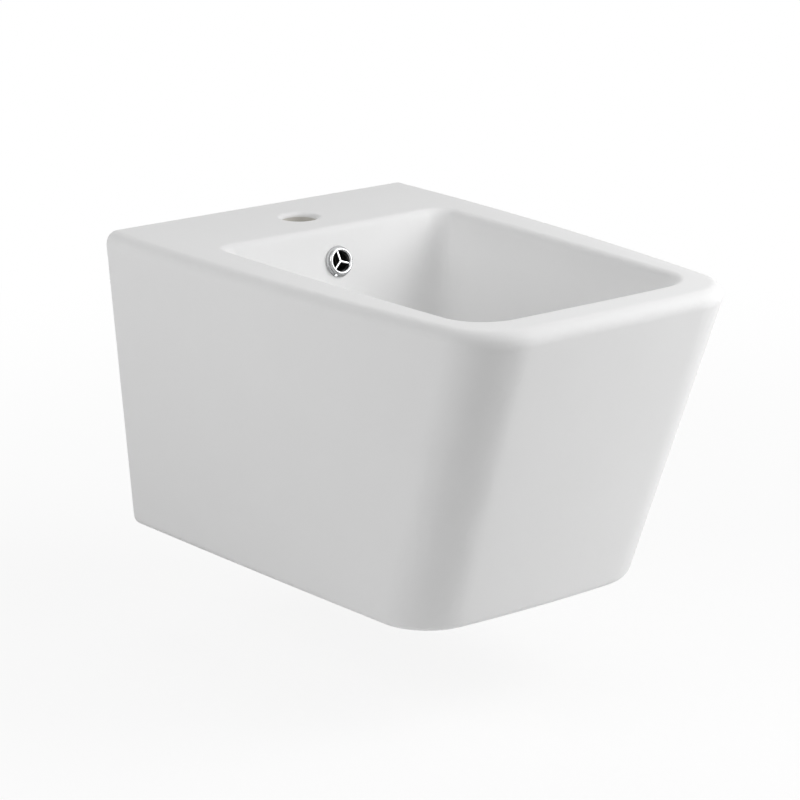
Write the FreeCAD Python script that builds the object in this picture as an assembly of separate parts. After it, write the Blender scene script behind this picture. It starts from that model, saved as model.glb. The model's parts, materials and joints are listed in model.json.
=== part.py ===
import FreeCAD, Part
import math
import os

# Wall-hung bidet in fired ceramic, with its overflow insert, its push-to-open waste
# and the fixing set of its two wall studs.
# Frame: the wall is the plane y = 0, the front looks along -Y and +Z is up.
# The origin lies on the wall, midway between the two fixing holes. All sizes are in mm.

# Overall sizes of the body
body_depth = 520.0
body_height = 295.0
fixing_drop = 80.0
fixing_half_width = 90.0

# Plan of the body at the rim
rim_half_at_wall = 180.0
rim_half_at_front = 146.3
rim_side_bow = 11.5
rim_front_bow = 0.8
body_corner_radius = 58.0

# Plan of the body at its base
base_fall_back = 103.0
base_draw_at_wall = 24.5
base_draw_at_front = 8.3
base_side_bow = 0.9
base_front_bow = 6.5

# Edges of the body
rim_edge_radius = 12.0
base_edge_radius = 13.0
wall_edge_radius = 1.2
bowl_edge_radius = 10.0
wall_trim = 1.0

# Ceramic thicknesses
skirt_wall = 11.0
back_wall = 14.0
deck_wall = 14.0
base_wall = 11.0
bowl_wall = 10.0

# Plan of the bowl at the rim, up to where its walls would meet the rim without a round
bowl_back = 115.0
rim_width_in_front = 45.0
rim_width_at_back = 48.0
rim_width_at_front = 22.8
bowl_side_bow = 2.8
bowl_front_bow = 1.5
bowl_front_corner = 36.0
bowl_rear_corner = 16.0

# Bowl walls and floor
bowl_wall_depth = 130.0
bowl_floor_fall = 18.0
back_lean = 0.27
side_lean = 0.31
front_lean = 0.34
front_corner_spread = 0.24
rear_corner_spread = 0.15
bowl_floor_blend = 34.0

# Base opening and the cut-out in the back
base_return = 42.0
base_opening_corner = 30.0
cutout_width = 116.0
cutout_top = 22.0
cutout_corner = 28.0

# Tap hole
tap_hole_radius = 17.5
tap_hole_from_wall = 62.0
tap_hole_round = 4.5

# Drain seat and waste boss
drain_from_wall = 235.0
drain_hole_radius = 23.0
drain_seat_radius = 33.0
drain_seat_depth = 3.6
boss_radius = 40.0
boss_height = 40.0
chamber_radius = 30.0
chamber_height = 16.0
chamber_cover = 12.0

# Overflow duct behind the bowl
overflow_drop = 32.3
overflow_hole_radius = 11.0
duct_width = 26.0
duct_thickness = 14.0
duct_wall = 9.0
duct_headroom = 12.0

# Overflow insert
insert_flange_radius = 14.7
insert_lip = 5.2
insert_lip_round = 2.3
insert_mouth_radius = 9.6
insert_mouth_depth = 2.7
insert_mouth_round = 1.0
insert_barrel_radius = 9.8
insert_barrel_wall = 0.9
insert_barrel_length = 12.0
insert_web_width = 2.2
insert_web_depth = 1.2
insert_web_count = 3
insert_web_turn = 101.0
insert_clearance = 0.05
insert_seal_thickness = 0.5
sleeve_rib_clearance = 0.1
sleeve_rib_height = 1.2
sleeve_rib_count = 3
sleeve_root_depth = 0.4

# Waste body
waste_flange_radius = 32.0
waste_flange_thickness = 2.5
waste_flange_round = 1.0
flange_seal_thickness = 1.0
flange_seal_inset = 0.8
waste_neck_clearance = 0.4
waste_neck_length = 5.0
waste_barrel_radius = 20.5
waste_thread_radius = 20.95
waste_thread_start = 32.0
waste_bore_radius = 18.2
waste_length = 95.0
plug_pocket_radius = 21.6
plug_pocket_depth = 3.2
slot_width = 9.0
slot_height = 12.0
slot_count = 4
thread_relief_depth = 0.8
thread_relief_width = 3.0
thread_clearance = 0.05

# Bridge inside the waste that carries the cartridge
hub_drop = 38.0
hub_height = 8.0
hub_radius = 8.0
hub_hole_radius = 5.0
bridge_arm_width = 3.5
bridge_arm_height = 6.0
bridge_arm_count = 3

# Seal, washer and nut under the ceramic boss
lower_seal_radius = 31.0
lower_seal_thickness = 7.0
lower_seal_plug_height = 4.0
lower_seal_plug_taper = 0.8
lower_seal_gap = 0.3
seal_washer_radius = 31.0
seal_washer_thickness = 2.0
waste_nut_flats = 54.0
waste_nut_height = 11.0
waste_nut_bevel = 1.2

# Push-to-open cartridge
cartridge_radius = 8.0
cartridge_bore_radius = 6.6
cartridge_height = 27.0
cartridge_floor = 3.0
cartridge_stub_tail = 1.5
cap_height = 3.0
cap_spigot_height = 3.0
cap_spigot_clearance = 0.1
plunger_radius = 3.2
plunger_clearance = 0.06
plunger_collar_height = 4.0
plunger_collar_clearance = 0.1
plunger_end_gap = 0.1
plunger_foot = 7.0
rotor_height = 3.2
rotor_clearance = 0.15
rotor_notch_count = 4
rotor_notch_width = 1.6
rotor_notch_depth = 1.2
spring_wire_radius = 0.4
spring_turns = 6.0
spring_end_gap = 0.1

# Plug
plug_travel = 9.0
plug_radius = 21.2
plug_edge = 2.4
plug_dome = 3.0
plug_edge_round = 0.8
plug_seat_gap = 1.5
plug_boss_radius = 6.0
plug_boss_height = 3.0
plug_groove_depth = 1.2
plug_groove_width = 2.7
plug_ring_radius = 1.25
stud_radius = 1.95
stud_hole_radius = 2.0
stud_in_plug = 6.0
stud_in_plunger = 8.0
stud_end_gap = 0.3

# Wall fixing set, for M12 studs
fixing_hole_radius = 10.0
stud_bore_radius = 6.5
sleeve_wall_clearance = 0.3
fixing_flange_radius = 16.0
fixing_flange_thickness = 3.0
rubber_washer_radius = 17.0
rubber_washer_thickness = 3.0
steel_washer_radius = 19.0
steel_washer_thickness = 2.5
wall_nut_flats = 19.0
wall_nut_height = 10.0
wall_nut_bore_radius = 6.0
wall_nut_bevel = 0.8

# One overrun serves every cut
overrun = 20.0
tolerance = 0.01

# Sizes, heights and places that follow from the sizes above
base_depth = body_depth - base_fall_back
base_half_at_wall = rim_half_at_wall - base_draw_at_wall
base_half_at_front = rim_half_at_front - base_draw_at_front
bowl_front = body_depth - rim_width_in_front
bowl_half_at_back = rim_half_at_wall - rim_width_at_back
bowl_half_at_front = rim_half_at_front - rim_width_at_front
rim_z = fixing_drop
base_z = fixing_drop - body_height
floor_edge_z = rim_z - bowl_wall_depth
floor_z = floor_edge_z - bowl_floor_fall
seat_z = floor_z - drain_seat_depth
boss_base_z = seat_z - boss_height
chamber_top_z = seat_z - chamber_cover
chamber_base_z = chamber_top_z - chamber_height
overflow_z = rim_z - overflow_drop
flange_top_z = seat_z + flange_seal_thickness + waste_flange_thickness
pocket_z = flange_top_z - plug_pocket_depth
hub_top_z = seat_z - hub_drop
hub_base_z = hub_top_z - hub_height
cartridge_top_z = hub_top_z + cartridge_height
plug_base_z = pocket_z + plug_seat_gap + plug_travel
collar_top_z = cartridge_top_z - cap_spigot_height - plunger_end_gap
collar_base_z = collar_top_z - plunger_collar_height
rotor_top_z = collar_base_z - plunger_end_gap
rotor_base_z = rotor_top_z - rotor_height
spring_base_z = hub_top_z + cartridge_floor
spring_top_z = rotor_base_z - spring_end_gap

Vec = FreeCAD.Vector
UP = Vec(0, 0, 1)
RIGHT = Vec(1, 0, 0)
drain_centre = Vec(0, -drain_from_wall, 0)


def save(node, shape):
    """Write one piece as its own file."""
    shape.exportStep(os.path.join("parts", node + ".step"))


def edge_list(shape, wanted):
    """The edges of a shape whose two ends and middle all satisfy a test on a point."""
    found = []
    for edge in shape.Edges:
        ends = [edge.valueAt(edge.FirstParameter), edge.valueAt(edge.LastParameter)]
        middle = edge.valueAt((edge.FirstParameter + edge.LastParameter) / 2)
        if all(wanted(point) for point in ends + [middle]):
            found.append(edge)
    return found


def near(value, target):
    """Whether two lengths agree within the drawing tolerance."""
    return abs(value - target) < tolerance


def disc(centre, radius, low_z, high_z):
    """An upright cylinder between two heights."""
    foot = Vec(centre.x, centre.y, low_z)
    return Part.makeCylinder(radius, high_z - low_z, foot, UP)


def tube(centre, outer, inner, low_z, high_z):
    """An upright tube between two heights."""
    bore = disc(centre, inner, low_z - overrun, high_z + overrun)
    return disc(centre, outer, low_z, high_z).cut(bore)


def block(low, high):
    """A box between two corners."""
    size = high - low
    return Part.makeBox(size.x, size.y, size.z, low)


def turned(points, centre):
    """A solid of revolution about an upright axis, from (radius, height) points."""
    outline = [Vec(centre.x + radius, centre.y, height) for radius, height in points]
    face = Part.Face(Part.makePolygon(outline + outline[:1]))
    return face.revolve(centre, UP, 360)


def hexagon(centre, flats, low_z, high_z, bevel):
    """An upright hexagonal nut blank with its outer corners bevelled at both ends."""
    corner = flats / math.sqrt(3)
    turns = [math.radians(60 * step) for step in range(6)]
    points = [Vec(corner * math.cos(a), corner * math.sin(a), low_z) + centre for a in turns]
    blank = Part.Face(Part.makePolygon(points + points[:1])).extrude(UP * (high_z - low_z))
    inner = corner - bevel
    outline = [(0, low_z), (inner, low_z), (corner, low_z + bevel / 2)]
    outline += [(corner, high_z - bevel / 2), (inner, high_z), (0, high_z)]
    return blank.common(turned(outline, centre))


# Plan outlines: two bowed sides, a bowed front and round corners

def circle_through(first, middle, last):
    """Centre and radius of the circle through three points of a plan."""
    circle = Part.Arc(first, middle, last).toShape().Curve
    return circle.Center, circle.Radius


def circles_meet(centre_a, radius_a, centre_b, radius_b, towards):
    """The meeting point of two circles that lies further along a direction."""
    gap = centre_b - centre_a
    span = gap.Length
    along = (span ** 2 + radius_a ** 2 - radius_b ** 2) / (2 * span)
    across = math.sqrt(radius_a ** 2 - along ** 2)
    middle = centre_a + gap / span * along
    normal = UP.cross(gap / span)
    points = [middle + normal * across, middle - normal * across]
    return max(points, key=lambda point: point.dot(towards))


def mirrored(point):
    """The same point on the other side of the mid-plane."""
    return Vec(-point.x, point.y, point.z)


def plan_points(plan, inset):
    """The right-hand points of a plan, from the rear line to the middle of the front."""
    back, front = plan["back"], plan["front"]
    middle_y = -(back + front) / 2
    half_middle = (plan["half_back"] + plan["half_front"]) / 2 + plan["side_bow"]
    side_centre, side_radius = circle_through(
        Vec(plan["half_back"], -back, 0),
        Vec(half_middle, middle_y, 0),
        Vec(plan["half_front"], -front, 0))
    front_centre, front_radius = circle_through(
        Vec(plan["half_front"], plan["front_bow"] - front, 0),
        Vec(0, -front, 0),
        Vec(-plan["half_front"], plan["front_bow"] - front, 0))
    corner = plan["front_corner"]
    corner_centre = circles_meet(
        side_centre, side_radius - corner, front_centre, front_radius - corner, Vec(1, -1, 0))
    side_way = (corner_centre - side_centre).normalize()
    front_way = (corner_centre - front_centre).normalize()
    corner_way = (side_way + front_way).normalize()
    side_end = side_centre + side_way * (side_radius - inset)
    corner_middle = corner_centre + corner_way * (corner - inset)
    front_end = front_centre + front_way * (front_radius - inset)
    rear_y = -back - plan.get("rear_inset", inset)

    def on_side(y):
        """The point of the side line at one depth."""
        reach = math.sqrt((side_radius - inset) ** 2 - (y - side_centre.y) ** 2)
        return Vec(side_centre.x + reach, y, 0)

    rear_corner = plan["rear_corner"]
    points = []
    if rear_corner:
        round_y = -back - rear_corner
        reach = math.sqrt((side_radius - rear_corner) ** 2 - (round_y - side_centre.y) ** 2)
        round_centre = Vec(side_centre.x + reach, round_y, 0)
        away = (round_centre - side_centre).normalize()
        round_way = (away + Vec(0, 1, 0)).normalize()
        rear_start = round_centre + Vec(0, rear_corner - inset, 0)
        side_start = side_centre + away * (side_radius - inset)
        points += [rear_start, round_centre + round_way * (rear_corner - inset)]
    else:
        side_start = on_side(rear_y)
    side_middle = on_side((side_start.y + side_end.y) / 2)
    points += [side_start, side_middle, side_end, corner_middle, front_end]
    return points, Vec(0, -front + inset, 0)


def plan_edges(plan, z, inset):
    """The edges of a plan at one height: the rear line, then round by the right-hand side."""
    right, front_middle = plan_points(plan, inset)
    left = [mirrored(point) for point in reversed(right)]
    loop = right + [front_middle] + left
    loop = [point + UP * z for point in loop]
    edges = [Part.makeLine(loop[-1], loop[0])]
    for start, middle, end in zip(loop[0::2], loop[1::2], loop[2::2]):
        edges.append(Part.Arc(start, middle, end).toShape())
    return edges


def plan_wire(plan, z, inset=0.0):
    """The closed outline of a plan at one height, moved inwards by an inset."""
    return Part.Wire(plan_edges(plan, z, inset))


def ring_wire(plan, z, inset, centre, radius):
    """A circle split in the same shares as a plan's outline, so that the two rule evenly."""
    lengths = [edge.Length for edge in plan_edges(plan, z, inset)]
    turn = 2 * math.pi / sum(lengths)

    def spot(run):
        """The point of the circle after a run along the outline, from the rear middle."""
        return centre + Vec(math.sin(run * turn), math.cos(run * turn), 0) * radius + UP * z

    edges = []
    start = -lengths[0] / 2
    for length in lengths:
        end = start + length
        edges.append(Part.Arc(spot(start), spot((start + end) / 2), spot(end)).toShape())
        start = end
    return Part.Wire(edges)


def loft(lower, upper):
    """A straight-ruled solid between two outlines."""
    return Part.makeLoft([lower, upper], True, True)


rim_plan = {
    "back": 0.0, "front": body_depth, "rear_inset": back_wall, "rear_corner": 0.0,
    "half_back": rim_half_at_wall, "side_bow": rim_side_bow,
    "half_front": rim_half_at_front, "front_bow": rim_front_bow,
    "front_corner": body_corner_radius}
base_plan = {
    "back": 0.0, "front": base_depth, "rear_inset": back_wall, "rear_corner": 0.0,
    "half_back": base_half_at_wall, "side_bow": base_side_bow,
    "half_front": base_half_at_front, "front_bow": base_front_bow,
    "front_corner": body_corner_radius}
bowl_plan = {
    "back": bowl_back, "front": bowl_front, "rear_corner": bowl_rear_corner,
    "half_back": bowl_half_at_back, "side_bow": bowl_side_bow,
    "half_front": bowl_half_at_front, "front_bow": bowl_front_bow,
    "front_corner": bowl_front_corner}


def sunk_plan(depth):
    """The bowl's plan at a depth below the rim, drawn in by the lean of its walls."""
    plan = dict(bowl_plan)
    plan["back"] += back_lean * depth
    plan["front"] -= front_lean * depth
    for name in ("half_back", "half_front"):
        plan[name] -= side_lean * depth
    plan["front_corner"] += front_corner_spread * depth
    plan["rear_corner"] += rear_corner_spread * depth
    return plan


def outer_block():
    """The whole body as a solid, with its rim and base edges rounded."""
    rim = dict(rim_plan, rear_inset=-wall_trim)
    base = dict(base_plan, rear_inset=-wall_trim)
    solid = loft(plan_wire(base, base_z), plan_wire(rim, rim_z))
    reach = body_depth + overrun
    behind = block(Vec(-reach, 0, base_z - overrun), Vec(reach, overrun, rim_z + overrun))
    solid = solid.cut(behind)
    rim_edges = edge_list(solid, lambda p: near(p.z, rim_z))
    rim_edges = [e for e in rim_edges if not near(e.BoundBox.YMin, 0)]
    solid = solid.makeFillet(rim_edge_radius, rim_edges)
    base_edges = edge_list(solid, lambda p: near(p.z, base_z))
    base_edges = [e for e in base_edges if not near(e.BoundBox.YMin, 0)]
    solid = solid.makeFillet(base_edge_radius, base_edges)
    wall_edges = edge_list(solid, lambda p: near(p.y, 0))
    return solid.makeFillet(wall_edge_radius, wall_edges)


def bowl_solid(growth):
    """The space of the bowl, or with a growth the ceramic that surrounds it."""
    floor_plan = sunk_plan(bowl_wall_depth)
    edge_z = floor_edge_z - growth
    drain_z = floor_z - growth
    radius = drain_seat_radius + growth
    walls = loft(plan_wire(floor_plan, edge_z, -growth), plan_wire(bowl_plan, rim_z, -growth))
    floor = loft(
        ring_wire(floor_plan, drain_z, -growth, drain_centre, radius),
        plan_wire(floor_plan, edge_z, -growth))
    solid = walls.fuse(floor)
    corner = edge_list(solid, lambda p: near(p.z, edge_z))
    floor_half_width = floor_plan["half_back"] - drain_seat_radius
    return solid.makeFillet(min(bowl_floor_blend, floor_half_width) + growth, corner)


def wall_line(z, out):
    """Distance from the wall of the rear bowl wall at a height, moved back by a thickness."""
    return -(bowl_back + back_lean * (rim_z - z)) + out


def duct_profile(out_near, out_far, top_z, inner_z, outer_z, half_width):
    """A run down behind the bowl that turns forward to the drain, as one bar."""
    points = [
        Vec(-half_width, wall_line(top_z, out_near), top_z),
        Vec(-half_width, wall_line(top_z, out_far), top_z),
        Vec(-half_width, wall_line(outer_z, out_far), outer_z),
        Vec(-half_width, -drain_from_wall, outer_z),
        Vec(-half_width, -drain_from_wall, inner_z),
        Vec(-half_width, wall_line(inner_z, out_near), inner_z)]
    face = Part.Face(Part.makePolygon(points + points[:1]))
    return face.extrude(RIGHT * (2 * half_width))


def duct_bar():
    """The ceramic round the overflow duct."""
    far = bowl_wall + duct_thickness + duct_wall
    return duct_profile(
        0.0, far, rim_z - deck_wall / 2, floor_edge_z, chamber_base_z - duct_wall,
        duct_width / 2 + duct_wall)


def duct_space():
    """The channel from the overflow hole to the chamber round the waste."""
    far = bowl_wall + duct_thickness
    return duct_profile(
        bowl_wall, far, overflow_z + duct_headroom, chamber_top_z, chamber_base_z,
        duct_width / 2)


def overflow_frame():
    """Place of the overflow insert: its axis stands square to the rear bowl wall."""
    lean = math.atan(back_lean)
    axis = Vec(0, -math.cos(lean), math.sin(lean))
    spot = Vec(0, wall_line(overflow_z, 0), overflow_z)
    return FreeCAD.Placement(spot, FreeCAD.Rotation(UP, axis))


def placed(shape, placement):
    """A copy of a shape moved by a placement."""
    copy = shape.copy()
    copy.Placement = placement.multiply(copy.Placement)
    return copy


def hollow_space():
    """The open space inside the skirt, reached from below and from the back."""
    inner = loft(plan_wire(base_plan, base_z, skirt_wall), plan_wire(rim_plan, rim_z, skirt_wall))
    reach = body_depth + overrun
    band = block(Vec(-reach, -reach, base_z + base_wall), Vec(reach, 0, rim_z - deck_wall))
    return inner.common(band)


def base_opening():
    """The opening in the underside, inside a return of even width."""
    plan = dict(base_plan, rear_inset=back_wall, front_corner=base_opening_corner + base_return)
    face = Part.Face(plan_wire(plan, base_z - overrun, base_return))
    return face.extrude(UP * (overrun + base_wall + overrun))


def back_cutout():
    """The way through the back for the outlet and the supply hoses."""
    half = cutout_width / 2
    low = Vec(-half, -back_wall - tolerance, base_z - overrun)
    high = Vec(half, overrun, cutout_top)
    opening = block(low, high)
    corners = edge_list(opening, lambda p: near(p.z, cutout_top) and near(abs(p.x), half))
    return opening.makeFillet(cutout_corner, corners)


def fixing_places():
    """The two fixing axes on the wall."""
    return [Vec(side * fixing_half_width, 0, 0) for side in (-1, 1)]


def bidet_body():
    """The ceramic body as one piece."""
    hollow = hollow_space().cut(bowl_solid(bowl_wall))
    hollow = hollow.cut(duct_bar())
    hollow = hollow.cut(disc(drain_centre, boss_radius, boss_base_z, floor_edge_z))
    body = outer_block().cut(hollow)
    body = body.cut(base_opening()).cut(back_cutout())
    body = body.cut(bowl_solid(0.0))
    body = body.makeFillet(bowl_edge_radius, bowl_mouth(body))
    body = body.cut(disc(drain_centre, drain_seat_radius, seat_z, floor_z + overrun))
    body = body.cut(disc(drain_centre, drain_hole_radius, base_z, seat_z + overrun))
    body = body.cut(disc(drain_centre, chamber_radius, chamber_base_z, chamber_top_z))
    body = body.cut(duct_space())
    depth = bowl_wall + duct_thickness / 2
    hole = Part.makeCylinder(overflow_hole_radius, depth + overrun, UP * -depth, UP)
    body = body.cut(placed(hole, overflow_frame()))
    tap_centre = Vec(0, -tap_hole_from_wall, 0)
    body = body.cut(disc(tap_centre, tap_hole_radius, rim_z - deck_wall - overrun, rim_z + overrun))
    tap_edge = edge_list(body, lambda p: near(p.z, rim_z) and in_reach(p, tap_centre))
    body = body.makeFillet(tap_hole_round, tap_edge)
    for place in fixing_places():
        start = place + Vec(0, overrun, 0)
        body = body.cut(Part.makeCylinder(
            fixing_hole_radius, back_wall + 2 * overrun, start, Vec(0, -1, 0)))
    return body.removeSplitter()


def in_reach(point, centre):
    """Whether a point lies on the edge of the tap hole."""
    return near(math.hypot(point.x - centre.x, point.y - centre.y), tap_hole_radius)


def bowl_mouth(body):
    """The edge between the rim and the bowl's walls."""
    def inside(point):
        in_depth = bowl_back - tolerance < -point.y < bowl_front + tolerance
        in_width = abs(point.x) < bowl_half_at_back + tolerance
        return near(point.z, rim_z) and in_depth and in_width
    return edge_list(body, inside)


# Overflow insert, drawn upright with the bowl wall at height 0

axis_foot = Vec(0, 0, 0)


def overflow_ring():
    """The chromed ring with its rounded lip, its three webs and its short barrel."""
    base = insert_seal_thickness
    crest = base + insert_lip
    floor = crest - insert_mouth_depth
    bore = insert_barrel_radius - insert_barrel_wall
    profile = [
        (bore, -insert_barrel_length), (insert_barrel_radius, -insert_barrel_length),
        (insert_barrel_radius, base), (insert_flange_radius, base),
        (insert_flange_radius, crest), (insert_mouth_radius, crest),
        (insert_mouth_radius, floor), (bore, floor)]
    ring = turned(profile, axis_foot)
    crest_edges = edge_list(ring, lambda p: near(p.z, crest))
    outer_edges = [e for e in crest_edges if near(e.Curve.Radius, insert_flange_radius)]
    mouth_edges = [e for e in crest_edges if near(e.Curve.Radius, insert_mouth_radius)]
    ring = ring.makeFillet(insert_lip_round, outer_edges)
    ring = ring.makeFillet(insert_mouth_round, mouth_edges)
    length = (insert_mouth_radius + insert_flange_radius) / 2
    half = insert_web_width / 2
    webs = [disc(axis_foot, insert_web_width / math.sqrt(3),
                 floor - insert_web_depth / 2, floor + insert_web_depth / 2)]
    for step in range(insert_web_count):
        bar = block(Vec(0, -half, floor - insert_web_depth / 2),
                    Vec(length, half, floor + insert_web_depth / 2))
        bar.rotate(axis_foot, UP, insert_web_turn + 360 * step / insert_web_count)
        webs.append(bar)
    return placed(ring.fuse(webs).removeSplitter(), overflow_frame())


def overflow_seal():
    """The soft ring between the insert's flange and the glaze."""
    outer = insert_flange_radius - insert_seal_thickness
    inner = overflow_hole_radius + insert_seal_thickness / 2
    ring = tube(axis_foot, outer, inner, 0, insert_seal_thickness)
    return placed(ring, overflow_frame())


def overflow_sleeve():
    """The ribbed plastic sleeve that grips the hole in the ceramic."""
    inner = insert_barrel_radius + insert_clearance
    crest = overflow_hole_radius - sleeve_rib_clearance
    root = crest - sleeve_root_depth
    profile = tube(axis_foot, root, inner, -insert_barrel_length, insert_seal_thickness)
    pitch = insert_barrel_length / (sleeve_rib_count + 1)
    ribs = []
    for step in range(sleeve_rib_count):
        low = -pitch * (step + 1) - sleeve_rib_height / 2
        ribs.append(tube(axis_foot, crest, inner, low, low + sleeve_rib_height))
    return placed(profile.fuse(ribs).removeSplitter(), overflow_frame())


# Waste

def around_drain(shape, count, turn=0.0):
    """Copies of a shape spaced evenly round the drain."""
    copies = []
    for step in range(count):
        copy = shape.copy()
        copy.rotate(drain_centre, UP, turn + 360 * step / count)
        copies.append(copy)
    return copies


def flange_seal():
    """The flat seal between the waste flange and the ceramic seat."""
    neck = drain_hole_radius - waste_neck_clearance
    outer = waste_flange_radius - flange_seal_inset
    return tube(drain_centre, outer, neck + thread_clearance, seat_z, seat_z + flange_seal_thickness)


def waste_body():
    """Flange, slotted barrel, threaded tail and the bridge that carries the cartridge."""
    neck = drain_hole_radius - waste_neck_clearance
    neck_z = seat_z - waste_neck_length
    under_z = seat_z + flange_seal_thickness
    thread_z = seat_z - waste_thread_start
    tail_z = seat_z - waste_length
    relief_top = nut_base_z()
    relief_low = relief_top - thread_relief_width
    relief = waste_thread_radius - thread_relief_depth
    profile = [
        (waste_bore_radius, tail_z), (waste_thread_radius, tail_z),
        (waste_thread_radius, relief_low), (relief, relief_low),
        (relief, relief_top), (waste_thread_radius, relief_top),
        (waste_thread_radius, thread_z), (waste_barrel_radius, thread_z),
        (waste_barrel_radius, neck_z), (neck, neck_z),
        (neck, under_z), (waste_flange_radius, under_z),
        (waste_flange_radius, flange_top_z), (plug_pocket_radius, flange_top_z),
        (plug_pocket_radius, pocket_z), (waste_bore_radius, pocket_z)]
    solid = turned(profile, drain_centre)
    lip = edge_list(solid, lambda p: near(p.z, flange_top_z))
    solid = solid.makeFillet(waste_flange_round, lip)
    slot_top = (chamber_top_z + chamber_base_z + slot_height) / 2
    slot = block(Vec(0, -slot_width / 2, slot_top - slot_height),
                 Vec(waste_flange_radius, slot_width / 2, slot_top))
    slot.translate(drain_centre)
    for cutter in around_drain(slot, slot_count):
        solid = solid.cut(cutter)
    arm = block(Vec(0, -bridge_arm_width / 2, hub_base_z),
                Vec((waste_bore_radius + waste_barrel_radius) / 2, bridge_arm_width / 2,
                    hub_base_z + bridge_arm_height))
    arm.translate(drain_centre)
    bridge = disc(drain_centre, hub_radius, hub_base_z, hub_top_z)
    bridge = bridge.fuse(around_drain(arm, bridge_arm_count, 90))
    bridge = bridge.cut(disc(drain_centre, hub_hole_radius, hub_base_z - overrun, hub_top_z + overrun))
    return solid.fuse(bridge).removeSplitter()


def nut_base_z():
    """Height of the waste nut's underside."""
    return boss_base_z - lower_seal_thickness - seal_washer_thickness - waste_nut_height


def lower_seal():
    """The rubber seal that enters the drain hole from below."""
    inner = waste_thread_radius + thread_clearance
    root = drain_hole_radius - lower_seal_gap
    top_z = boss_base_z + lower_seal_plug_height
    low_z = boss_base_z - lower_seal_thickness
    profile = [
        (inner, low_z), (lower_seal_radius, low_z), (lower_seal_radius, boss_base_z),
        (root, boss_base_z), (root - lower_seal_plug_taper, top_z), (inner, top_z)]
    return turned(profile, drain_centre)


def seal_washer():
    """The plastic washer that lets the nut turn against the rubber."""
    high_z = boss_base_z - lower_seal_thickness
    inner = waste_thread_radius + thread_clearance
    return tube(drain_centre, seal_washer_radius, inner, high_z - seal_washer_thickness, high_z)


def waste_nut():
    """The nut that clamps the waste to the ceramic."""
    low_z = nut_base_z()
    high_z = low_z + waste_nut_height
    nut = hexagon(drain_centre, waste_nut_flats, low_z, high_z, waste_nut_bevel)
    bore = waste_thread_radius + thread_clearance
    return nut.cut(disc(drain_centre, bore, low_z - overrun, high_z + overrun))


# Push-to-open cartridge and plug

def cartridge_body():
    """The fixed barrel of the cartridge, screwed into the bridge's hub."""
    stub = hub_hole_radius - thread_clearance
    stub_z = hub_base_z - cartridge_stub_tail
    floor_top = hub_top_z + cartridge_floor
    solid = disc(drain_centre, cartridge_radius, hub_top_z, cartridge_top_z)
    solid = solid.fuse(disc(drain_centre, stub, stub_z, hub_top_z))
    space = disc(drain_centre, cartridge_bore_radius, floor_top, cartridge_top_z + overrun)
    return solid.cut(space).removeSplitter()


def cartridge_cap():
    """The cap that closes the cartridge and guides the plunger."""
    bore = plunger_radius + plunger_clearance
    spigot = cartridge_bore_radius - cap_spigot_clearance
    top_z = cartridge_top_z + cap_height
    low_z = cartridge_top_z - cap_spigot_height
    cap = disc(drain_centre, cartridge_radius, cartridge_top_z, top_z)
    cap = cap.fuse(disc(drain_centre, spigot, low_z, cartridge_top_z))
    return cap.cut(disc(drain_centre, bore, low_z - overrun, top_z + overrun)).removeSplitter()


def plunger_top_z():
    """Height where the plunger meets the plug's boss."""
    return plug_base_z - plug_boss_height


def cartridge_plunger():
    """The sliding stem, with the collar that stops it under the cap."""
    low_z = collar_base_z - plunger_foot
    collar = cartridge_bore_radius - plunger_collar_clearance
    rod = disc(drain_centre, plunger_radius, low_z, plunger_top_z())
    rod = rod.fuse(disc(drain_centre, collar, collar_base_z, collar_top_z))
    hole_z = plunger_top_z() - stud_in_plunger - stud_end_gap
    return rod.cut(disc(drain_centre, stud_hole_radius, hole_z, plunger_top_z() + overrun))


def latch_rotor():
    """The notched ring that turns a step at each push and holds the plug down."""
    inner = plunger_radius + rotor_clearance
    outer = cartridge_bore_radius - rotor_clearance
    ring = tube(drain_centre, outer, inner, rotor_base_z, rotor_top_z)
    notch = block(Vec(0, -rotor_notch_width / 2, rotor_top_z - rotor_notch_depth),
                  Vec(cartridge_radius, rotor_notch_width / 2, rotor_top_z + overrun))
    notch.translate(drain_centre)
    for cutter in around_drain(notch, rotor_notch_count):
        ring = ring.cut(cutter)
    return ring


def cartridge_spring():
    """The coil that lifts the plug, between the cartridge's floor and the rotor."""
    coil_radius = (plunger_radius + cartridge_bore_radius) / 2
    low_z = spring_base_z + spring_wire_radius
    height = spring_top_z - spring_base_z - 2 * spring_wire_radius
    path = Part.Wire(Part.makeHelix(height / spring_turns, height, coil_radius).Edges)
    section = Part.Circle(Vec(coil_radius, 0, 0), Vec(0, 1, 0), spring_wire_radius).toShape()
    coil = path.makePipeShell([Part.Wire(section)], True, True)
    coil.translate(drain_centre + UP * low_z)
    return coil


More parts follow.
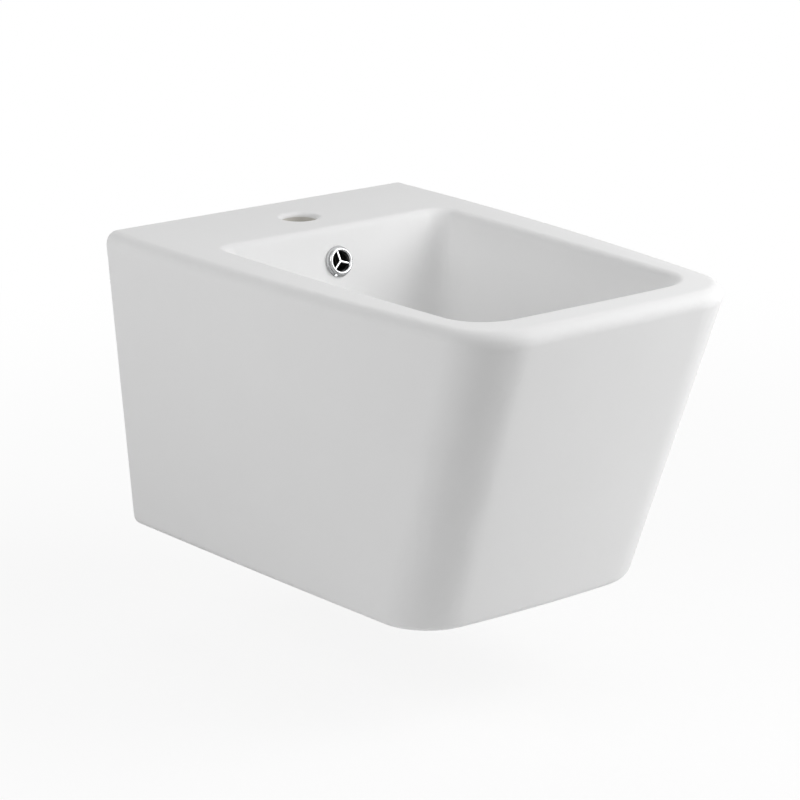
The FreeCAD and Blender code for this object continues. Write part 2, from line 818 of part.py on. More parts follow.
def waste_plug():
    """The domed plug, drawn raised, with the groove of its sealing ring."""
    edge_z = plug_base_z + plug_edge
    top_z = edge_z + plug_dome
    sphere_radius = (plug_radius ** 2 + plug_dome ** 2) / (2 * plug_dome)
    rise = Part.Arc(
        drain_centre + Vec(plug_radius, 0, edge_z),
        drain_centre + Vec(plug_radius / 2, 0,
                           top_z - sphere_radius
                           + math.sqrt(sphere_radius ** 2 - (plug_radius / 2) ** 2)),
        drain_centre + Vec(0, 0, top_z)).toShape()
    low = [
        Vec(0, 0, top_z), Vec(0, 0, plug_base_z - plug_boss_height),
        Vec(plug_boss_radius, 0, plug_base_z - plug_boss_height),
        Vec(plug_boss_radius, 0, plug_base_z), Vec(plug_radius, 0, plug_base_z),
        Vec(plug_radius, 0, edge_z)]
    lower = Part.makePolygon([drain_centre + point for point in low])
    solid = Part.Face(Part.Wire(lower.Edges + [rise])).revolve(drain_centre, UP, 360)
    solid = solid.makeFillet(plug_edge_round, edge_list(solid, lambda p: near(p.z, edge_z)))
    ring = ring_path_radius()
    groove = tube(drain_centre, ring + plug_groove_width / 2, ring - plug_groove_width / 2,
                  plug_base_z - overrun, plug_base_z + plug_groove_depth)
    hole_z = plunger_top_z() + stud_in_plug + stud_end_gap
    hole = disc(drain_centre, stud_hole_radius, plunger_top_z() - overrun, hole_z)
    return solid.cut(groove).cut(hole)


def ring_path_radius():
    """Radius of the sealing ring's centre line, over the pocket's shoulder."""
    return (plug_pocket_radius + waste_bore_radius) / 2


def plug_seal():
    """The rubber ring under the plug."""
    middle_z = plug_base_z + plug_groove_depth - plug_ring_radius
    return Part.makeTorus(
        ring_path_radius(), plug_ring_radius, drain_centre + UP * middle_z, UP)


def plug_stud():
    """The threaded stud that joins the plug to the plunger."""
    low_z = plunger_top_z() - stud_in_plunger
    return disc(drain_centre, stud_radius, low_z, plunger_top_z() + stud_in_plug)


# Wall fixing set, drawn upright from the wall at height 0 and laid along -Y

def fixing_pair(piece):
    """One copy of a fixing piece on each of the two wall axes."""
    turn = FreeCAD.Rotation(UP, Vec(0, -1, 0))
    return Part.Compound([
        placed(piece, FreeCAD.Placement(place, turn)) for place in fixing_places()])


def wall_sleeves():
    """Two flanged sleeves that keep the studs off the ceramic."""
    barrel = fixing_hole_radius - sleeve_wall_clearance
    top = back_wall + fixing_flange_thickness
    piece = tube(axis_foot, barrel, stud_bore_radius, 0, top)
    piece = piece.fuse(tube(axis_foot, fixing_flange_radius, stud_bore_radius, back_wall, top))
    return fixing_pair(piece.removeSplitter())


def wall_rubber_washers():
    """Two soft washers that spread the load on the ceramic."""
    low = back_wall + fixing_flange_thickness
    high = low + rubber_washer_thickness
    return fixing_pair(tube(axis_foot, rubber_washer_radius, stud_bore_radius, low, high))


def wall_steel_washers():
    """Two wide steel washers under the nuts."""
    low = back_wall + fixing_flange_thickness + rubber_washer_thickness
    high = low + steel_washer_thickness
    return fixing_pair(tube(axis_foot, steel_washer_radius, stud_bore_radius, low, high))


def wall_nuts():
    """Two nuts for the wall's own studs."""
    low = (back_wall + fixing_flange_thickness + rubber_washer_thickness
           + steel_washer_thickness)
    high = low + wall_nut_height
    nut = hexagon(axis_foot, wall_nut_flats, low, high, wall_nut_bevel)
    return fixing_pair(nut.cut(disc(axis_foot, wall_nut_bore_radius, -overrun, high + overrun)))


pieces = {
    "bidet_body": bidet_body,
    "overflow_ring": overflow_ring,
    "overflow_seal": overflow_seal,
    "overflow_sleeve": overflow_sleeve,
    "flange_seal": flange_seal,
    "waste_body": waste_body,
    "lower_seal": lower_seal,
    "seal_washer": seal_washer,
    "waste_nut": waste_nut,
    "cartridge_body": cartridge_body,
    "cartridge_cap": cartridge_cap,
    "cartridge_plunger": cartridge_plunger,
    "latch_rotor": latch_rotor,
    "cartridge_spring": cartridge_spring,
    "waste_plug": waste_plug,
    "plug_seal": plug_seal,
    "plug_stud": plug_stud,
    "wall_sleeves": wall_sleeves,
    "wall_rubber_washers": wall_rubber_washers,
    "wall_steel_washers": wall_steel_washers,
    "wall_nuts": wall_nuts}

os.makedirs("parts", exist_ok=True)
for node, make in pieces.items():
    shape = make()
    save(node, shape)
    box = shape.BoundBox
    print(node, "solids", len(shape.Solids), "valid", shape.isValid(),
          "volume", round(shape.Volume, 1),
          "x", round(box.XMin, 2), round(box.XMax, 2),
          "y", round(box.YMin, 2), round(box.YMax, 2),
          "z", round(box.ZMin, 2), round(box.ZMax, 2))
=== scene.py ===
import bpy
import json
import math
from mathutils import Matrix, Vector


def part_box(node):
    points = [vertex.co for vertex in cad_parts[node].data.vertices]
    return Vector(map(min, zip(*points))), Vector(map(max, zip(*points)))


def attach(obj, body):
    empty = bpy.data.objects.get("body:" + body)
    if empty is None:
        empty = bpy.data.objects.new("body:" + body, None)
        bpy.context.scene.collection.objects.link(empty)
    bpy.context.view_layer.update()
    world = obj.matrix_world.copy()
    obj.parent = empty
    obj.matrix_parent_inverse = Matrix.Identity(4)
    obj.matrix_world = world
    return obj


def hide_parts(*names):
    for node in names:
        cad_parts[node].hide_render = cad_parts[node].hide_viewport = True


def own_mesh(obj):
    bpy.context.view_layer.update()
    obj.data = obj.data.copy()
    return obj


# Wall-hung bidet in white glaze, with a chromed overflow ring and a push-to-open waste.
# Metres. The wall is the plane y = 0, the front looks along -Y and +Z is up.

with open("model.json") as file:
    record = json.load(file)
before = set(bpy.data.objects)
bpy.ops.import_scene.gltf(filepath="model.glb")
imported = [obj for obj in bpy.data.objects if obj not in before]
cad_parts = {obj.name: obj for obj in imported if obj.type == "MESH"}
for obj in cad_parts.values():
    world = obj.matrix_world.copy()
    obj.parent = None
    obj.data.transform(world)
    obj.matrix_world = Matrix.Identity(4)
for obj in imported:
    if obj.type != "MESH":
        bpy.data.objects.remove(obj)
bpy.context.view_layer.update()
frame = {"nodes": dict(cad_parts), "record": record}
bpy.ops.object.select_all(action="DESELECT")
scene = bpy.context.scene
mm = 0.001

# Viewpoint of the photograph, fitted to the outline of the body
camera_place = Vector((-1.6616, -2.3031, 0.7206))
camera_target = Vector((-0.0190, -0.2403, -0.0579))
camera_lens = 134.69
camera_sensor = 36.0
camera_near = 0.1
camera_far = 20.0

# Place of the overflow ring on the rear bowl wall
rim_height = 80.0 * mm
bowl_back = 115.0 * mm
back_lean = 0.27
overflow_drop = 32.3 * mm
lean_angle = math.atan(back_lean)
ring_place = Vector((0.0, -(bowl_back + back_lean * overflow_drop), rim_height - overflow_drop))
ring_axis = Vector((0.0, -math.cos(lean_angle), math.sin(lean_angle)))

# Tap hole: its bore begins below the rounded edge
tap_place = Vector((0.0, -62.0 * mm, rim_height - 4.5 * mm))
tap_bore = 17.5 * mm

# Reach of the overflow duct behind the ring
duct_reach = 25.0 * mm
duct_half_width = 14.0 * mm

# Overflow ring, drawn upright with the bowl wall at height 0
ring_seal = 0.5 * mm
ring_radius = 14.7 * mm
ring_foot = 0.8 * mm
ring_side = 13.1 * mm
ring_side_foot = 1.9 * mm
ring_crest = 5.7 * mm
ring_crest_round = 1.75 * mm
ring_floor = 1.6 * mm
ring_barrel = 9.8 * mm
ring_bore = 9.3 * mm
ring_tail = -12.0 * mm
ring_sides = 96
arc_steps = 8
web_height = 3.0 * mm
web_width = 2.2 * mm
web_depth = 1.2 * mm
web_round_share = 0.45
web_round_steps = 4
web_count = 3
web_turn = math.radians(101.0)

# Thread on the tail of the waste
thread_pitch = 2.309 * mm
thread_crest = 20.95 * mm
thread_root = 19.5 * mm
thread_ridge = 1.31 * mm
thread_flat = 0.2 * mm
thread_relief = 2.8 * mm
thread_sides = 64
waste_bore = 18.2 * mm
core_overlap = 1.0 * mm

# Joining and smoothing of meshes
weld = 0.002 * mm
touch = 0.1 * mm
smooth_angle = math.radians(32.0)
corner_angle = math.radians(40.0)


def set_camera():
    """The camera at the photograph's viewing angle."""
    bpy.ops.object.camera_add(location=camera_place)
    camera = bpy.context.object
    camera.name = "camera"
    camera.rotation_euler = (camera_target - camera_place).to_track_quat("-Z", "Y").to_euler()
    camera.data.lens = camera_lens
    camera.data.sensor_width = camera_sensor
    camera.data.clip_start = camera_near
    camera.data.clip_end = camera_far
    scene.camera = camera


# Modelling steps that several pieces share

def take(piece):
    """Select one object and nothing else."""
    bpy.ops.object.select_all(action="DESELECT")
    piece.select_set(True)
    bpy.context.view_layer.objects.active = piece


def pick_edges(piece, wanted):
    """Select the edges of a piece whose two ends both pass a test on their place."""
    take(piece)
    bpy.ops.object.mode_set(mode="EDIT")
    bpy.ops.mesh.select_mode(type="EDGE")
    bpy.ops.mesh.select_all(action="DESELECT")
    bpy.ops.object.mode_set(mode="OBJECT")
    corners = piece.data.vertices
    for edge in piece.data.edges:
        edge.select = all(wanted(corners[index].co) for index in edge.vertices)
    bpy.ops.object.mode_set(mode="EDIT")


def round_edges(piece, wanted, width, segments):
    """Round off the edges whose two ends both pass a test on their place."""
    pick_edges(piece, wanted)
    bpy.ops.mesh.bevel(offset=width, segments=segments, profile=0.5, affect="EDGES")
    bpy.ops.object.mode_set(mode="OBJECT")


def smooth(piece):
    """Shade a finished piece smooth, with its sharp corners kept and its flats flat."""
    take(piece)
    bpy.ops.object.shade_smooth_by_angle(angle=smooth_angle)
    bpy.ops.object.modifier_add(type="WEIGHTED_NORMAL")
    weighting = piece.modifiers[-1]
    weighting.mode = "FACE_AREA_WITH_ANGLE"
    weighting.keep_sharp = True
    bpy.ops.object.modifier_apply(modifier=weighting.name)


def merged_copy(node, name):
    """A copy of a CAD node as a piece of its own, with its loose triangles joined."""
    piece = bpy.data.objects.new(name, frame["nodes"][node].data.copy())
    scene.collection.objects.link(piece)
    take(piece)
    bpy.ops.mesh.customdata_custom_splitnormals_clear()
    bpy.ops.object.mode_set(mode="EDIT")
    bpy.ops.mesh.select_all(action="SELECT")
    bpy.ops.mesh.remove_doubles(threshold=weld)
    bpy.ops.object.mode_set(mode="OBJECT")
    return piece


def turned_shell(name, outline, sides):
    """A closed shell turned about Z, drawn out from a circle through (radius, height) steps."""
    radius, height = outline[0]
    bpy.ops.mesh.primitive_circle_add(vertices=sides, radius=radius, location=(0, 0, height))
    piece = bpy.context.object
    piece.name = name
    bpy.ops.object.transform_apply(location=True, rotation=False, scale=False)
    bpy.ops.object.mode_set(mode="EDIT")
    bpy.ops.mesh.select_mode(type="EDGE")
    bpy.ops.mesh.select_all(action="SELECT")
    for next_radius, next_height in outline[1:]:
        rise = next_height - height
        bpy.ops.mesh.extrude_region_move(TRANSFORM_OT_translate={"value": (0, 0, rise)})
        growth = next_radius / radius
        bpy.ops.transform.resize(value=(growth, growth, 1), center_override=(0, 0, next_height))
        radius, height = next_radius, next_height
    bpy.ops.mesh.select_all(action="DESELECT")
    bpy.ops.mesh.select_non_manifold()
    bpy.ops.mesh.bridge_edge_loops()
    bpy.ops.mesh.select_all(action="SELECT")
    bpy.ops.mesh.normals_make_consistent(inside=False)
    bpy.ops.object.mode_set(mode="OBJECT")
    return piece


def arc(radius, height, size, turn):
    """Steps (radius, height) along a round edge, from its outer side over its top."""
    turns = [turn * step / arc_steps for step in range(arc_steps + 1)]
    return [(radius + size * math.cos(way), height + size * math.sin(way)) for way in turns]


def join_pieces(whole, parts):
    """Join parts into one piece."""
    take(whole)
    for part in parts:
        part.select_set(True)
    bpy.ops.object.join()


# Finishes

patch_detail = 3.0
grain_detail = 2.0


def new_group(name, inputs, outputs):
    """An empty node group with its sockets."""
    group = bpy.data.node_groups.new(name, "ShaderNodeTree")
    for label, kind in inputs:
        group.interface.new_socket(label, in_out="INPUT", socket_type=kind)
    for label, kind in outputs:
        group.interface.new_socket(label, in_out="OUTPUT", socket_type=kind)
    return group, group.nodes.new("NodeGroupInput"), group.nodes.new("NodeGroupOutput")


def add_noise(tree, scale, detail):
    """A noise texture on object coordinates, with its scale from a socket."""
    place = tree.nodes.new("ShaderNodeTexCoord")
    noise = tree.nodes.new("ShaderNodeTexNoise")
    noise.inputs["Detail"].default_value = detail
    tree.links.new(place.outputs["Object"], noise.inputs["Vector"])
    tree.links.new(scale, noise.inputs["Scale"])
    return noise.outputs["Fac"]


def spread_about(tree, middle, spread, mask):
    """A value that wanders by a spread each way about a middle, as a mask goes from 0 to 1."""
    shift = tree.nodes.new("ShaderNodeMath")
    shift.operation = "SUBTRACT"
    tree.links.new(mask, shift.inputs[0])
    shift.inputs[1].default_value = 0.5
    swing = tree.nodes.new("ShaderNodeMath")
    swing.operation = "MULTIPLY"
    tree.links.new(shift.outputs[0], swing.inputs[0])
    tree.links.new(spread, swing.inputs[1])
    total = tree.nodes.new("ShaderNodeMath")
    total.operation = "ADD"
    tree.links.new(swing.outputs[0], total.inputs[0])
    if isinstance(middle, bpy.types.NodeSocket):
        tree.links.new(middle, total.inputs[1])
    else:
        total.inputs[1].default_value = middle
    return total.outputs[0]


def make_cloudy_surface():
    """Patchy tone and gloss, with a fine grain for the bump."""
    number = "NodeSocketFloat"
    group, given, put_out = new_group(
        "cloudy_surface",
        [("Colour", "NodeSocketColor"), ("Tone Spread", number), ("Roughness", number),
         ("Gloss Spread", number), ("Patch Scale", number), ("Grain Scale", number)],
        [("Colour", "NodeSocketColor"), ("Roughness", number), ("Grain", number)])
    patches = add_noise(group, given.outputs["Patch Scale"], patch_detail)
    tone = spread_about(group, 1.0, given.outputs["Tone Spread"], patches)
    tint = group.nodes.new("ShaderNodeVectorMath")
    tint.operation = "SCALE"
    group.links.new(given.outputs["Colour"], tint.inputs[0])
    group.links.new(tone, tint.inputs["Scale"])
    group.links.new(tint.outputs["Vector"], put_out.inputs["Colour"])
    grain = add_noise(group, given.outputs["Grain Scale"], grain_detail)
    gloss = spread_about(group, given.outputs["Roughness"], given.outputs["Gloss Spread"], grain)
    group.links.new(gloss, put_out.inputs["Roughness"])
    group.links.new(grain, put_out.inputs["Grain"])
    return group


def make_turning_marks():
    """Fine rings about an upright axis, uneven as a lathe tool leaves them."""
    number = "NodeSocketFloat"
    group, given, put_out = new_group(
        "turning_marks", [("Scale", number), ("Unevenness", number)], [("Mark", number)])
    place = group.nodes.new("ShaderNodeTexCoord")
    rings = group.nodes.new("ShaderNodeTexWave")
    rings.wave_type = "BANDS"
    rings.bands_direction = "Z"
    group.links.new(place.outputs["Object"], rings.inputs["Vector"])
    group.links.new(given.outputs["Scale"], rings.inputs["Scale"])
    group.links.new(given.outputs["Unevenness"], rings.inputs["Distortion"])
    group.links.new(rings.outputs["Fac"], put_out.inputs["Mark"])
    return group


cloudy_surface = make_cloudy_surface()
turning_marks = make_turning_marks()


def start_finish(name, colour, tone_spread, roughness, gloss_spread, patch_scale, grain_scale):
    """A material whose colour and gloss come from the cloudy surface group."""
    material = bpy.data.materials.new(name)
    material.use_nodes = True
    tree = material.node_tree
    shader = tree.nodes["Principled BSDF"]
    surface = tree.nodes.new("ShaderNodeGroup")
    surface.node_tree = cloudy_surface
    surface.inputs["Colour"].default_value = (*colour, 1.0)
    surface.inputs["Tone Spread"].default_value = tone_spread
    surface.inputs["Roughness"].default_value = roughness
    surface.inputs["Gloss Spread"].default_value = gloss_spread
    surface.inputs["Patch Scale"].default_value = patch_scale
    surface.inputs["Grain Scale"].default_value = grain_scale
    tree.links.new(surface.outputs["Colour"], shader.inputs["Base Color"])
    tree.links.new(surface.outputs["Roughness"], shader.inputs["Roughness"])
    return material, tree, shader, surface.outputs["Grain"]


def add_relief(tree, shader, height, depth):
    """Bump the surface by a mask, to a real depth."""
    bump = tree.nodes.new("ShaderNodeBump")
    bump.inputs["Strength"].default_value = 1.0
    bump.inputs["Distance"].default_value = depth
    tree.links.new(height, bump.inputs["Height"])
    tree.links.new(bump.outputs["Normal"], shader.inputs["Normal"])


def add_turning(tree, shader, scale, unevenness, depth):
    """Turning marks as the relief of a lathe-turned piece."""
    marks = tree.nodes.new("ShaderNodeGroup")
    marks.node_tree = turning_marks
    marks.inputs["Scale"].default_value = scale
    marks.inputs["Unevenness"].default_value = unevenness
    add_relief(tree, shader, marks.outputs["Mark"], depth)


def make_white_glaze():
    """Satin white glaze, slightly wavy as it flowed in the kiln."""
    material, tree, shader, grain = start_finish(
        "white_glaze", colour=(0.80, 0.80, 0.80), tone_spread=0.03, roughness=0.50,
        gloss_spread=0.06, patch_scale=14.0, grain_scale=160.0)
    shader.inputs["Specular IOR Level"].default_value = 0.2
    add_relief(tree, shader, grain, depth=0.02 * mm)
    return material


def make_raw_ceramic():
    """The unglazed inside, tap-hole bore and wall face of the casting: cream, dull and finely
    grained; in the tap hole its darker tone also serves as painted shade.
    """
    material, tree, shader, grain = start_finish(
        "raw_ceramic", colour=(0.62, 0.60, 0.56), tone_spread=0.16, roughness=0.85,
        gloss_spread=0.1, patch_scale=35.0, grain_scale=900.0)
    add_relief(tree, shader, grain, depth=0.12 * mm)
    return material


def make_duct_shade():
    """Painted shade for the inside of the overflow duct: an unglazed finish coloured far darker
    than the rest, standing for the shade deep in the duct.
    """
    material, tree, shader, grain = start_finish(
        "painted_duct_shade", colour=(0.14, 0.137, 0.13), tone_spread=0.5, roughness=0.9,
        gloss_spread=0.1, patch_scale=60.0, grain_scale=700.0)
    add_relief(tree, shader, grain, depth=0.1 * mm)
    return material


def make_chrome():
    """Bright chrome plate with a trace of haze."""
    material, tree, shader, grain = start_finish(
        "chrome", colour=(0.50, 0.505, 0.51), tone_spread=0.04, roughness=0.09,
        gloss_spread=0.05, patch_scale=90.0, grain_scale=500.0)
    shader.inputs["Metallic"].default_value = 1.0
    add_relief(tree, shader, grain, depth=0.002 * mm)
    return material


def make_zinc_steel():
    """Zinc-plated steel with cloudy passivation."""
    material, tree, shader, grain = start_finish(
        "zinc_steel", colour=(0.60, 0.61, 0.62), tone_spread=0.22, roughness=0.34,
        gloss_spread=0.2, patch_scale=220.0, grain_scale=1500.0)
    shader.inputs["Metallic"].default_value = 1.0
    add_relief(tree, shader, grain, depth=0.01 * mm)
    return material


def make_turned_brass():
    """Bare brass with the fine rings of the lathe."""
    material, tree, shader, _ = start_finish(
        "turned_brass", colour=(0.72, 0.56, 0.29), tone_spread=0.12, roughness=0.28,
        gloss_spread=0.12, patch_scale=120.0, grain_scale=500.0)
    shader.inputs["Metallic"].default_value = 1.0
    add_turning(tree, shader, scale=900.0, unevenness=0.8, depth=0.008 * mm)
    return material


def make_moulded_plastic(name, colour, roughness):
    """Moulded plastic with a fine sparked texture."""
    material, tree, shader, grain = start_finish(
        name, colour=colour, tone_spread=0.08, roughness=roughness,
        gloss_spread=0.12, patch_scale=80.0, grain_scale=1400.0)
    add_relief(tree, shader, grain, depth=0.015 * mm)
    return material


def make_black_rubber():
    """Matt black rubber with a dusty bloom."""
    material, tree, shader, grain = start_finish(
        "black_rubber", colour=(0.045, 0.045, 0.047), tone_spread=0.6, roughness=0.78,
        gloss_spread=0.16, patch_scale=150.0, grain_scale=1200.0)
    add_relief(tree, shader, grain, depth=0.02 * mm)
    return material


finishes = {
    "white_glaze": make_white_glaze(),
    "chrome": make_chrome(),
    "steel": make_zinc_steel(),
    "brass": make_turned_brass(),
    "white_plastic": make_moulded_plastic("white_plastic", (0.82, 0.82, 0.80), 0.45),
    "black_rubber": make_black_rubber()}
raw_ceramic = make_raw_ceramic()
# Painted shade: a dark finish for the inside of the overflow duct
painted_duct_shade = make_duct_shade()
# Painted shade: a near-black moulded finish for the inside of the ring's barrel
painted_bore_shade = make_moulded_plastic("painted_bore_shade", (0.025, 0.025, 0.025), 0.35)


def finish_nodes():
    """Give each CAD node the finish of its material slot in the record."""
    for part in frame["record"]["subparts"]:
        slots = frame["nodes"][part["node"]].data.materials
        slots.clear()
        slots.append(finishes[part["material_slot"]])


def set_finishes(piece, *materials):
    """Replace the material slots of a piece."""
    piece.data.materials.clear()
    for material in materials:
        piece.data.materials.append(material)


# Pieces

def nearest_face(mesh, spot):
    """The face whose middle lies nearest to a spot."""
    return min(mesh.polygons, key=lambda face: (face.center - spot).length_squared)


def make_glazed_body():
    """The ceramic body: glazed where it shows, raw inside and on the wall, with painted shade in
    the duct and in the tap hole's bore.
    """
    body = merged_copy("bidet_body", "glazed_body")
    low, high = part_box("bidet_body")
    take(body)
    bpy.ops.object.mode_set(mode="EDIT")
    bpy.ops.mesh.select_mode(type="FACE")
    bpy.ops.mesh.select_all(action="DESELECT")
    bpy.ops.object.mode_set(mode="OBJECT")
    nearest_face(body.data, Vector((high.x, (low.y + high.y) / 2, 0.0))).select = True
    bpy.ops.object.mode_set(mode="EDIT")
    bpy.ops.mesh.faces_select_linked_flat(sharpness=corner_angle)
    bpy.ops.object.mode_set(mode="OBJECT")
    set_finishes(body, finishes["white_glaze"], raw_ceramic, painted_duct_shade)
    for face in body.data.polygons:
        away = face.center - ring_place
        depth = -away.dot(ring_axis)
        aside = (away + ring_axis * depth).length
        on_wall = face.center.y > -touch
        from_tap = (face.center - tap_place).xy.length
        # The tap hole's bore below its rounded edge takes the darker raw finish: unglazed there,
        # and darker as painted shade
        in_tap_hole = from_tap < tap_bore + touch and face.center.z < tap_place.z
        behind_ring = 0 < depth < duct_reach and aside < 2 * duct_reach
        if face.select and not on_wall and not in_tap_hole:
            face.material_index = 0
        # Faces in the duct behind the ring take the painted duct shade
        elif behind_ring and abs(face.center.x) < duct_half_width:
            face.material_index = 2
        else:
            face.material_index = 1
    smooth(body)
    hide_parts("bidet_body")
    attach(body, "bidet")


def make_web():
    """One rounded web of the overflow ring, from its middle out into the lip."""
    reach = ring_side - ring_crest_round
    bpy.ops.mesh.primitive_cube_add(size=1, location=(reach / 2, 0, web_height))
    web = bpy.context.object
    web.scale = (reach, web_width, web_depth)
    bpy.ops.object.transform_apply(location=True, rotation=False, scale=True)
    round_edges(web, lambda spot: spot.z > web_height, web_depth * web_round_share, web_round_steps)
    return web


def make_overflow_ring():
    """The chromed overflow ring: a round lip on a flared foot, with webs over a barrel in
    near-black painted shade.
    """
    crest_middle = ring_side - ring_crest_round
    mouth = crest_middle - ring_crest_round
    ring = turned_shell("chromed_overflow_ring", [
        (ring_bore, ring_tail), (ring_barrel, ring_tail),
        (ring_barrel, ring_seal), (ring_radius, ring_seal),
        (ring_radius, ring_foot), (ring_side, ring_side_foot),
        *arc(crest_middle, ring_crest - ring_crest_round, ring_crest_round, math.pi),
        (mouth, ring_floor), (ring_bore, ring_floor)], ring_sides)
    set_finishes(ring, finishes["chrome"], painted_bore_shade)
    # Faces inside the mouth and below the floor take the near-black painted shade
    for face in ring.data.polygons:
        inside = face.center.xy.length < mouth - weld and face.center.z < ring_floor + weld
        face.material_index = 1 if inside else 0
    web = make_web()
    set_finishes(web, finishes["chrome"], painted_bore_shade)
    webs = [web]
    for step in range(1, web_count):
        another = bpy.data.objects.new(web.name, web.data.copy())
        scene.collection.objects.link(another)
        webs.append(another)
    for step, bar in enumerate(webs):
        bar.rotation_euler.z = web_turn + 2 * math.pi * step / web_count
    join_pieces(ring, webs)
    ring.rotation_euler.x = math.pi / 2 - lean_angle
    ring.location = ring_place
    bpy.ops.object.transform_apply(location=True, rotation=True, scale=True)
    smooth(ring)
    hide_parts("overflow_ring")
    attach(ring, "bidet")


def make_thread(low, turns):
    """A helical thread ridge with blunted crests, about Z."""
    bpy.ops.mesh.primitive_circle_add(
        vertices=3, radius=thread_ridge, rotation=(math.pi / 2, 0, math.pi / 2),
        location=(thread_crest - thread_ridge, 0, low))
    ridge = bpy.context.object
    ridge.name = "thread_ridge"
    bpy.ops.object.transform_apply(location=True, rotation=True, scale=False)
    tip = max(vertex.co.x for vertex in ridge.data.vertices)
    take(ridge)
    bpy.ops.object.mode_set(mode="EDIT")
    bpy.ops.mesh.select_mode(type="VERT")
    bpy.ops.mesh.select_all(action="DESELECT")
    bpy.ops.object.mode_set(mode="OBJECT")
    for vertex in ridge.data.vertices:
        vertex.select = vertex.co.x > tip - weld
    bpy.ops.object.mode_set(mode="EDIT")
    bpy.ops.mesh.bevel(offset=thread_flat, segments=1, affect="VERTICES")
    bpy.ops.object.mode_set(mode="OBJECT")
    bpy.ops.object.modifier_add(type="SCREW")
    screw = ridge.modifiers[-1]
    screw.angle = 2 * math.pi
    screw.screw_offset = thread_pitch
    screw.iterations = turns
    screw.steps = thread_sides
    screw.render_steps = thread_sides
    bpy.ops.object.modifier_apply(modifier=screw.name)
    bpy.ops.object.mode_set(mode="EDIT")
    bpy.ops.mesh.select_all(action="SELECT")
    bpy.ops.mesh.fill_holes(sides=0)
    bpy.ops.mesh.select_all(action="SELECT")
    bpy.ops.mesh.normals_make_consistent(inside=False)
    bpy.ops.object.mode_set(mode="OBJECT")
    return ridge


def make_threaded_waste():
    """The chromed waste body, with a real thread on the tail below its nut."""
    waste = merged_copy("waste_body", "threaded_waste")
    low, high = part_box("waste_body")
    nut_low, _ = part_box("waste_nut")
    middle = Vector(((low.x + high.x) / 2, (low.y + high.y) / 2, 0.0))
    thread_top = nut_low.z - thread_relief
    bpy.ops.object.mode_set(mode="EDIT")
    bpy.ops.mesh.select_all(action="SELECT")
    bpy.ops.mesh.bisect(
        plane_co=(middle.x, middle.y, thread_top), plane_no=(0, 0, 1), clear_inner=True)
    bpy.ops.object.mode_set(mode="OBJECT")
    pick_edges(waste, lambda spot: spot.z < thread_top + weld)
    bpy.ops.mesh.bridge_edge_loops()
    bpy.ops.object.mode_set(mode="OBJECT")
    tail = turned_shell("thread_core", [
        (waste_bore, low.z), (thread_root, low.z),
        (thread_root, thread_top + core_overlap), (waste_bore, thread_top + core_overlap)],
        thread_sides)
    turns = int((thread_top - low.z) / thread_pitch) - 1
    ridge = make_thread(low.z + thread_ridge, turns)
    for part in (tail, ridge):
        part.location = middle
    join_pieces(waste, [tail, ridge])
    set_finishes(waste, finishes["chrome"])
    smooth(waste)
    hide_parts("waste_body")
    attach(waste, "bidet")


def make_spring():
    """The plated cartridge spring, which in the real waste is squeezed as the plug goes down."""
    spring = merged_copy("cartridge_spring", "coil_spring")
    set_finishes(spring, finishes["steel"])
    smooth(spring)
    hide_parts("cartridge_spring")
    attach(spring, "bidet")
    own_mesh(spring)


# Light and surroundings

lamp_centre = Vector((0.0, -0.26, -0.05))
lamp_reach = 1.7
lamp_size = 1.2
room_light = 0.05
seen_white = 1.0
floor_size = 24.0
floor_height = -0.32
floor_tone = 0.85
floor_roughness = 0.9
fade_centre = (0.0, -0.3, 0.0)
fade_start = 0.4
fade_end = 1.6
fade_near = 0.88


def soft_lamp(name, turn, rise, watts):
    """A large soft lamp on a sphere about the body. Turn 0 is in front and grows to the right."""
    turn, rise = math.radians(turn), math.radians(rise)
    level = math.cos(rise)
    way = Vector((math.sin(turn) * level, -math.cos(turn) * level, math.sin(rise)))
    bpy.ops.object.light_add(type="AREA", location=lamp_centre + way * lamp_reach)
    lamp = bpy.context.object
    lamp.name = name
    lamp.rotation_euler = (-way).to_track_quat("-Z", "Y").to_euler()
    lamp.data.shape = "SQUARE"
    lamp.data.size = lamp_size
    lamp.data.energy = watts


def add_seen_directly(tree):
    """A mask of the rays that see the surroundings: from the camera, in gloss and through glass."""
    path = tree.nodes.new("ShaderNodeLightPath")
    seen = path.outputs["Is Camera Ray"]
    for other in ("Is Glossy Ray", "Is Transmission Ray"):
        either = tree.nodes.new("ShaderNodeMath")
        either.operation = "MAXIMUM"
        tree.links.new(seen, either.inputs[0])
        tree.links.new(path.outputs[other], either.inputs[1])
        seen = either.outputs[0]
    return seen


def set_room():
    """A dim even room that is seen as white."""
    world = bpy.data.worlds.new("room")
    scene.world = world
    world.use_nodes = True
    tree = world.node_tree
    dim = tree.nodes["Background"]
    dim.inputs["Color"].default_value = (1.0, 1.0, 1.0, 1.0)
    dim.inputs["Strength"].default_value = room_light
    white = tree.nodes.new("ShaderNodeBackground")
    white.inputs["Color"].default_value = (1.0, 1.0, 1.0, 1.0)
    white.inputs["Strength"].default_value = seen_white
    mix = tree.nodes.new("ShaderNodeMixShader")
    tree.links.new(add_seen_directly(tree), mix.inputs[0])
    tree.links.new(dim.outputs[0], mix.inputs[1])
    tree.links.new(white.outputs[0], mix.inputs[2])
    tree.links.new(mix.outputs[0], tree.nodes["World Output"].inputs["Surface"])


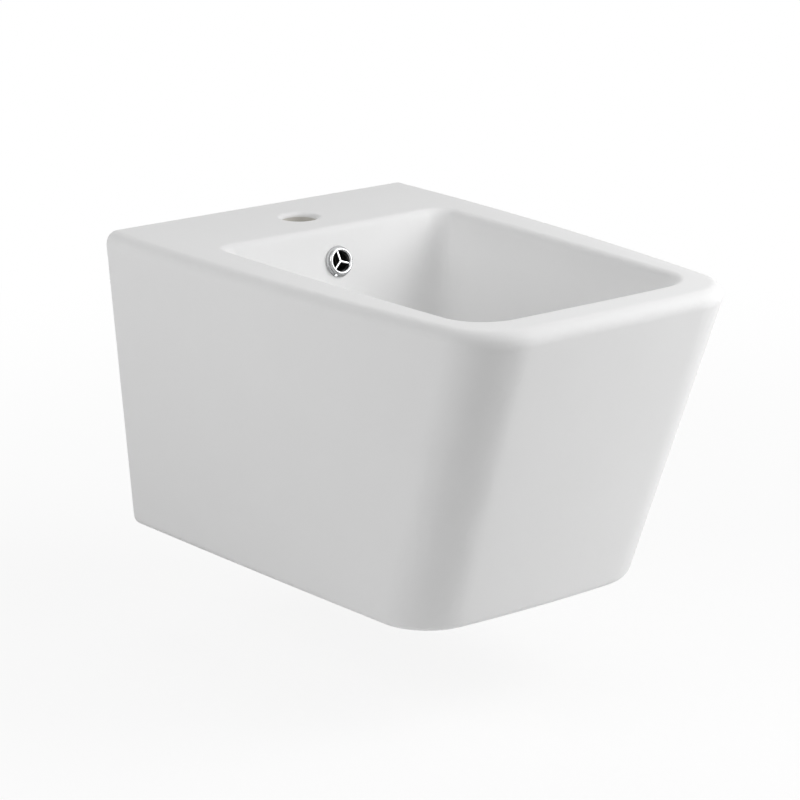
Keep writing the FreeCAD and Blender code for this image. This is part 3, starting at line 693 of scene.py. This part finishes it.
def make_floor():
    """A plain pale floor that keeps the shadow, turns white further off and is clear from below."""
    bpy.ops.mesh.primitive_plane_add(size=floor_size, location=(0, 0, floor_height))
    floor = bpy.context.object
    floor.name = "floor"
    paint = bpy.data.materials.new("pale_floor")
    paint.use_nodes = True
    tree = paint.node_tree
    shader = tree.nodes["Principled BSDF"]
    shader.inputs["Base Color"].default_value = (floor_tone, floor_tone, floor_tone, 1.0)
    shader.inputs["Roughness"].default_value = floor_roughness
    glow = tree.nodes.new("ShaderNodeEmission")
    glow.inputs["Strength"].default_value = seen_white
    place = tree.nodes.new("ShaderNodeTexCoord")
    away = tree.nodes.new("ShaderNodeVectorMath")
    away.operation = "DISTANCE"
    away.inputs[1].default_value = fade_centre
    tree.links.new(place.outputs["Object"], away.inputs[0])
    fade = tree.nodes.new("ShaderNodeMapRange")
    fade.interpolation_type = "SMOOTHSTEP"
    fade.inputs["From Min"].default_value = fade_start
    fade.inputs["From Max"].default_value = fade_end
    fade.inputs["To Min"].default_value = fade_near
    fade.inputs["To Max"].default_value = seen_white
    tree.links.new(away.outputs["Value"], fade.inputs["Value"])
    share = tree.nodes.new("ShaderNodeMath")
    share.operation = "MULTIPLY"
    tree.links.new(add_seen_directly(tree), share.inputs[0])
    tree.links.new(fade.outputs["Result"], share.inputs[1])
    mix = tree.nodes.new("ShaderNodeMixShader")
    tree.links.new(share.outputs[0], mix.inputs[0])
    tree.links.new(shader.outputs[0], mix.inputs[1])
    tree.links.new(glow.outputs[0], mix.inputs[2])
    side = tree.nodes.new("ShaderNodeNewGeometry")
    path = tree.nodes.new("ShaderNodeLightPath")
    from_below = tree.nodes.new("ShaderNodeMath")
    from_below.operation = "MULTIPLY"
    tree.links.new(side.outputs["Backfacing"], from_below.inputs[0])
    tree.links.new(path.outputs["Is Camera Ray"], from_below.inputs[1])
    clear = tree.nodes.new("ShaderNodeBsdfTransparent")
    seen_through = tree.nodes.new("ShaderNodeMixShader")
    tree.links.new(from_below.outputs[0], seen_through.inputs[0])
    tree.links.new(mix.outputs[0], seen_through.inputs[1])
    tree.links.new(clear.outputs[0], seen_through.inputs[2])
    surface = tree.nodes["Material Output"].inputs["Surface"]
    tree.links.new(seen_through.outputs[0], surface)
    floor.data.materials.append(paint)


set_camera()
finish_nodes()
make_glazed_body()
make_overflow_ring()
make_threaded_waste()
make_spring()

soft_lamp("lamp_left", -100, 30, 13.5)
soft_lamp("lamp_front_right", 43, 33, 23.0)
soft_lamp("lamp_high", 24, 48, 3.9)
soft_lamp("lamp_low_front", 35, 0, 1.9)
soft_lamp("lamp_behind_right", 140, 60, 5.0)
soft_lamp("lamp_low_left", -70, 0, 2.0)
soft_lamp("lamp_behind_low", 180, 0, 5.0)
set_room()
make_floor()
scene.view_settings.view_transform = "Standard"
bpy.ops.object.select_all(action="DESELECT")
